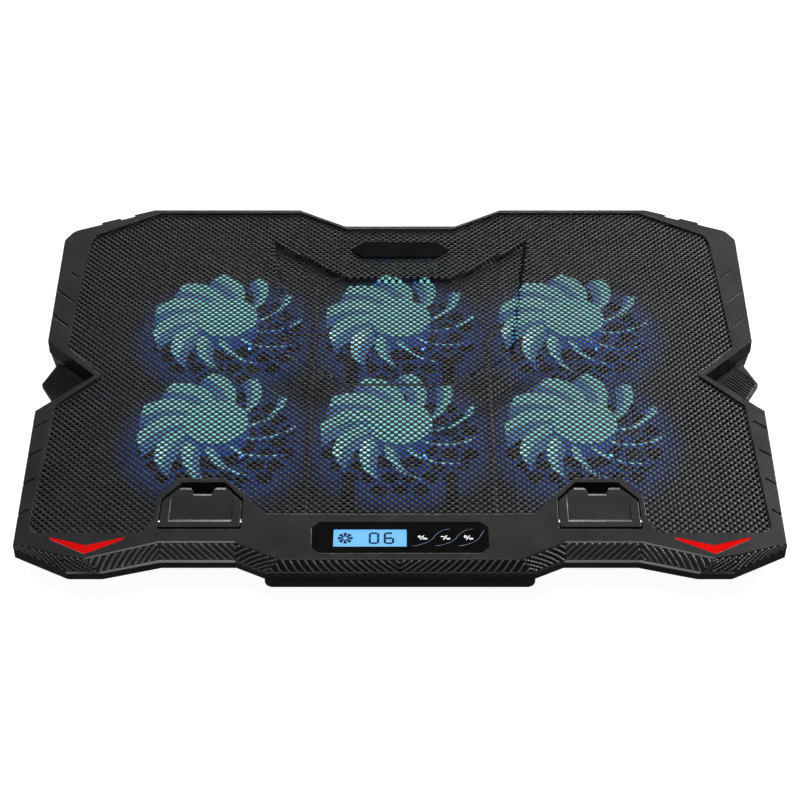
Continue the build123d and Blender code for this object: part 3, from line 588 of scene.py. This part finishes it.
for a, b in zip(outer, np.roll(outer, -1, 0)):
    cut(sheet, a, b)
select_faces(sheet, ~inside(face_centres(sheet)[:, :2], outer))
bpy.ops.mesh.delete(type="FACE")
for a, b in zip(sunken, np.roll(sunken, -1, 0)):
    cut(sheet, a, b)
print("cut sheet faces:", len(sheet.data.polygons))

# %% [markdown]
# The real sheet is pressed: its middle is sunk behind a sharp step, and a shallow valley in the
# shape of a V crosses it below. The flat sheet is given that form by lowering its points.

# %% Press the form
sink_depth = 2.0 * MM
sink_step = 1.2 * MM            # width of the step at the edge
groove_depth = 1.2 * MM
groove_half = 9 * MM            # from the bottom of the valley to its shore
valley = [np.array(p) * MM for p in ((-85, 8), (-39, -33), (0, -62), (39, -33), (85, 8))]


def distance_to_runs(points, corners, others):
    """How far points are from the nearest of the runs between corners and others."""
    return np.min([distance_to(points, a, b) for a, b in zip(corners, others)], axis=0)


points = np.zeros(len(sheet.data.vertices) * 3, np.float32)
sheet.data.vertices.foreach_get("co", points)
points = points.reshape(-1, 3)
flat_points = points[:, :2].astype(float)
edge_away = distance_to_runs(flat_points, sunken, np.roll(sunken, -1, 0))
sink = np.where(inside(flat_points, sunken), np.clip(edge_away / sink_step, 0, 1), 0)
groove = np.clip(1 - distance_to_runs(flat_points, valley, valley[1:]) / groove_half, 0, 1)
points[:, 2] -= np.maximum(sink * sink_depth, groove * groove_depth)
sheet.data.vertices.foreach_set("co", points.ravel())
sheet.data.update()
print("pressed down by up to", round(float(sheet_z - points[:, 2].min()) / MM, 2), "mm")

# %% [markdown]
# A mesh is kept well under the number of triangles at which it would be thinned, so the sheet
# is divided into a left, a middle and a right piece, and then Solidify gives each one a wall.

# %% Give it its thickness, in three pieces
middle_half = 62 * MM
sheet_wall = 0.4 * MM
pieces = [sheet]
for seam_x in (-middle_half, middle_half):
    select_faces(pieces[-1], face_centres(pieces[-1])[:, 0] > seam_x)
    bpy.ops.mesh.separate(type="SELECTED")
    bpy.ops.object.mode_set(mode="OBJECT")
    pieces.append(next(o for o in bpy.context.selected_objects if o not in pieces))
for piece, name in zip(pieces, ("mesh_sheet_left", "mesh_sheet_middle", "mesh_sheet_right")):
    select_only(piece)
    wall = piece.modifiers.new("thickness", "SOLIDIFY")
    wall.thickness = sheet_wall
    wall.offset = -1
    bpy.ops.object.modifier_apply(modifier=wall.name)
    bpy.ops.object.shade_smooth_by_angle(angle=math.radians(50))
    finish_piece(piece, name, "case", mesh_black)
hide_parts("mesh_panel")

# %% [markdown]
# A band of twisted cords runs along the front ramp. Each cord is a row of beads, made once as a
# flattened ball and copied along slanted lines that change direction at every corner.

# %% Where the ramp lies
stopper_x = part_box("stopper_right")[0].x / 2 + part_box("stopper_right")[1].x / 2
stopper = stopper_x / MM
chevron = half_w / MM - 44.4
side = half_w / MM
ramp = [  # in mm from the middle to the right: upper point, lower point, drop
    ((0, 5.6), (0, 0), 5.0),
    ((stopper - 42.8, 5.6), (stopper - 35, 0), 5.0),
    ((stopper - 19, 18.3), (stopper - 19.5, 8), 5.0),
    ((stopper + 19.5, 18.3), (stopper + 18.5, 8), 5.0),
    ((chevron - 0.6, 6.5), (chevron - 8.6, 0), 5.0),
    ((chevron + 12, 9.2), (chevron + 8.4, 0), 5.0),
    ((side - 8.5, 16.5), (side - 7.6, 15.2), 2.6),
]


def on_ramp(place, share):
    """The point at a place along the ramp, counted in corners, and a share of the way down."""
    i = min(int(place), len(ramp) - 2)
    t = place - i
    ends = []
    for upper, lower, drop in ramp[i:i + 2]:
        u = Vector((upper[0] * MM, lip_y + upper[1] * MM, deck_z))
        v = Vector((lower[0] * MM, lip_y + lower[1] * MM, deck_z - drop * MM))
        ends.append(u.lerp(v, share))
    return ends[0].lerp(ends[1], t)


# %% One bead
bead_size = (0.72 * MM, 1.05 * MM, 0.42 * MM)
select_only()
bpy.ops.mesh.primitive_uv_sphere_add(segments=8, ring_count=5, radius=1)
bead = bpy.context.object
bpy.ops.transform.resize(value=bead_size)
bpy.ops.object.transform_apply(scale=True)
bpy.ops.object.shade_smooth()
print("bead:", len(bead.data.polygons), "faces")

# %% The cords of the band
leans = (-1, 1, -1, 1, -1, -1)      # which way the cords lean in each run, outward positive
cord_gap = 3.9 * MM
cord_slant = 12 * MM                # how far a cord's end lies from its start, along the ramp
bead_turn = math.radians(40)
beads = 9                           # in each cord
first_share, taken_share = 0.15, 0.67
middle_share = 0.475
run_end = 0.999                     # just short of the next corner
cords = []
for run, lean in enumerate(leans):
    length = (on_ramp(run + 0.9999, 0.5) - on_ramp(run, 0.5)).length
    count = round(length / cord_gap)
    for k in range(-2, count + 2):
        for j in range(beads):
            share = first_share + taken_share * j / (beads - 1)
            slant = lean * (share - middle_share) * cord_slant / length
            place = run + (k + 0.5) / count + slant
            if not run <= place <= run + run_end:
                continue
            spot = on_ramp(place, share)
            for half in (-1, 1):
                turned = Matrix.Rotation(half * lean * bead_turn, 4, "Z")
                lying = Matrix.Translation((half * spot.x, spot.y, spot.z)) @ turned
                cords.append(copy_at(bead, lying))
remove(bead)
finish_piece(join(cords), "trim_cords", "case", cord_grey)

# %% [markdown]
# The display shows a small fan and two digits made of bars. Both are thin dark pieces that lie
# on the lit glass. One bar and one blade are made and then copied.

# %% Bars for the digits
lcd_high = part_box("lcd_module")[1]
lens_low, lens_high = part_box("display_lens")
lens_y = (lens_low.y + lens_high.y) / 2
ink = 0.06 * MM


def bar(width, length, vertices=6):
    """A flat bar with pointed ends, lying along X."""
    select_only()
    bpy.ops.mesh.primitive_circle_add(vertices=vertices, radius=1, fill_type="NGON")
    piece = bpy.context.object
    bpy.ops.object.mode_set(mode="EDIT")
    bpy.ops.transform.rotate(value=math.pi / 2, orient_axis="Z", center_override=(0, 0, 0))
    bpy.ops.transform.resize(value=(width / 2, width / math.sqrt(3), 1))
    bpy.ops.mesh.select_all(action="DESELECT")
    bpy.ops.object.mode_set(mode="OBJECT")
    for vertex in piece.data.vertices:
        vertex.co.x += math.copysign((length - width) / 2, vertex.co.x)
    bpy.ops.object.mode_set(mode="EDIT")
    bpy.ops.mesh.select_all(action="SELECT")
    bpy.ops.mesh.extrude_region_move(TRANSFORM_OT_translate={"value": (0, 0, ink)})
    bpy.ops.mesh.select_all(action="SELECT")
    bpy.ops.mesh.normals_make_consistent(inside=False)
    bpy.ops.object.mode_set(mode="OBJECT")
    return piece


def placed(piece, x, y, z, turn=0.0):
    return copy_at(piece, Matrix.Translation((x, y, z)) @ Matrix.Rotation(turn, 4, "Z"))


digit_h = 3.6 * MM      # half a digit's height
digit_w = 4.2 * MM
digits = ((-13.2 * MM, "abcdef"), (-5.6 * MM, "acdefg"))    # where each one is, and its lit bars
stroke = bar(1.15 * MM, digit_h)
glyph = []
for x0, on in digits:
    left, right = x0 - digit_w / 2, x0 + digit_w / 2
    high, low = lens_y + digit_h / 2, lens_y - digit_h / 2
    where = {   # x, y, and 1 for an upright bar
        "a": (x0, lens_y + digit_h, 0), "g": (x0, lens_y, 0), "d": (x0, lens_y - digit_h, 0),
        "f": (left, high, 1), "b": (right, high, 1), "e": (left, low, 1), "c": (right, low, 1),
    }
    for letter in on:
        x, y, upright = where[letter]
        glyph.append(placed(stroke, x, y, lcd_high.z, upright * math.pi / 2))
remove(stroke)

# %% The small fan sign
fan_x = -27.8 * MM
blades = 8
blade_start, blade_length = 1.0 * MM, 2.8 * MM
blade_width, blade_widening = 0.7 * MM, 1.35 * MM
select_only()
bpy.ops.mesh.primitive_plane_add(size=1)
blade = bpy.context.object
for vertex in blade.data.vertices:
    out = vertex.co.y + 0.5
    vertex.co.x *= blade_width + blade_widening * out
    vertex.co.y = blade_start + blade_length * out
bpy.ops.object.mode_set(mode="EDIT")
bpy.ops.mesh.select_all(action="SELECT")
bpy.ops.mesh.extrude_region_move(TRANSFORM_OT_translate={"value": (0, 0, ink)})
bpy.ops.mesh.select_all(action="SELECT")
bpy.ops.mesh.normals_make_consistent(inside=False)
bpy.ops.object.mode_set(mode="OBJECT")
glyph += [placed(blade, fan_x, lens_y, lcd_high.z, k * math.tau / blades) for k in range(blades)]
remove(blade)
finish_piece(join(glyph), "display_signs", "case", icon_navy)

# %% [markdown]
# Each key carries a small white sign, which rides on that key, and a thin blue line weaves
# between the keys on the glass.

# %% Signs on the keys
key_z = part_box("key_plus")[1].z


def ring(radius, width):
    """A thin flat ring."""
    select_only()
    bpy.ops.mesh.primitive_circle_add(vertices=20, radius=radius, fill_type="NGON")
    piece = bpy.context.object
    bpy.ops.object.mode_set(mode="EDIT")
    bpy.ops.mesh.select_all(action="SELECT")
    bpy.ops.mesh.inset(thickness=width)
    bpy.ops.mesh.delete(type="FACE")
    bpy.ops.mesh.select_all(action="SELECT")
    bpy.ops.mesh.extrude_region_move(TRANSFORM_OT_translate={"value": (0, 0, ink)})
    bpy.ops.mesh.select_all(action="SELECT")
    bpy.ops.mesh.normals_make_consistent(inside=False)
    bpy.ops.object.mode_set(mode="OBJECT")
    return piece


dash = bar(0.5 * MM, 1.9 * MM)
slash = bar(0.4 * MM, 3.6 * MM)
spot = ring(0.55 * MM, 0.3 * MM)
sun = ring(0.85 * MM, 0.4 * MM)
mark_left, mark_up = 1.3 * MM, 0.7 * MM
spots_right, spots_down = (1.0 * MM, 2.1 * MM), 0.8 * MM
slash_turn = math.radians(58)
key_marks = {"plus": ((dash, 0), (dash, 90)), "minus": ((dash, 0),), "light": ((sun, 0),)}
for key, marks in key_marks.items():
    low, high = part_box(f"key_{key}")
    x = (low.x + high.x) / 2
    sign = [placed(mark, x - mark_left, lens_y + mark_up, key_z, math.radians(turn))
            for mark, turn in marks]
    sign.append(placed(slash, x, lens_y, key_z, slash_turn))
    sign += [placed(spot, x + right, lens_y - spots_down, key_z) for right in spots_right]
    finish_piece(join(sign), f"key_sign_{key}", f"key_{key}", icon_white)
for pattern in (dash, slash, spot, sun):
    remove(pattern)

# %% The lines between the keys
line_radius = 0.17 * MM
line_above = 0.02 * MM
wave_start = ((-5.0, -6.1), (3.5, 0))       # in mm: a point beside the line's place, its handle
wave_middle = ((5.8, -0.2), (1.2, 2.6))
wave_end = ((14.0, 5.9), (4, 0))
last_wave_end = ((8.2, 5.2), (0.8, 1.6))
waves = []
for x, end in ((11.2, wave_end), (22.85, wave_end), (34.5, last_wave_end)):
    select_only()
    bpy.ops.curve.primitive_bezier_curve_add()
    wave = bpy.context.object
    path = wave.data.splines[0]
    path.bezier_points.add(1)
    stops = (wave_start, wave_middle, end)
    for point, ((px, py), (hx, hy)) in zip(path.bezier_points, stops):
        here = Vector(((x + px) * MM, lens_y + py * MM, lens_high.z + line_above))
        reach = Vector((hx * MM, hy * MM, 0))
        point.handle_left_type = point.handle_right_type = "FREE"
        point.co, point.handle_left, point.handle_right = here, here - reach, here + reach
    wave.location = (0, 0, 0)
    wave.data.bevel_depth = line_radius
    wave.data.bevel_resolution = 2
    bpy.ops.object.convert(target="MESH")
    waves.append(bpy.context.object)
finish_piece(join(waves), "key_lines", "case", line_blue)
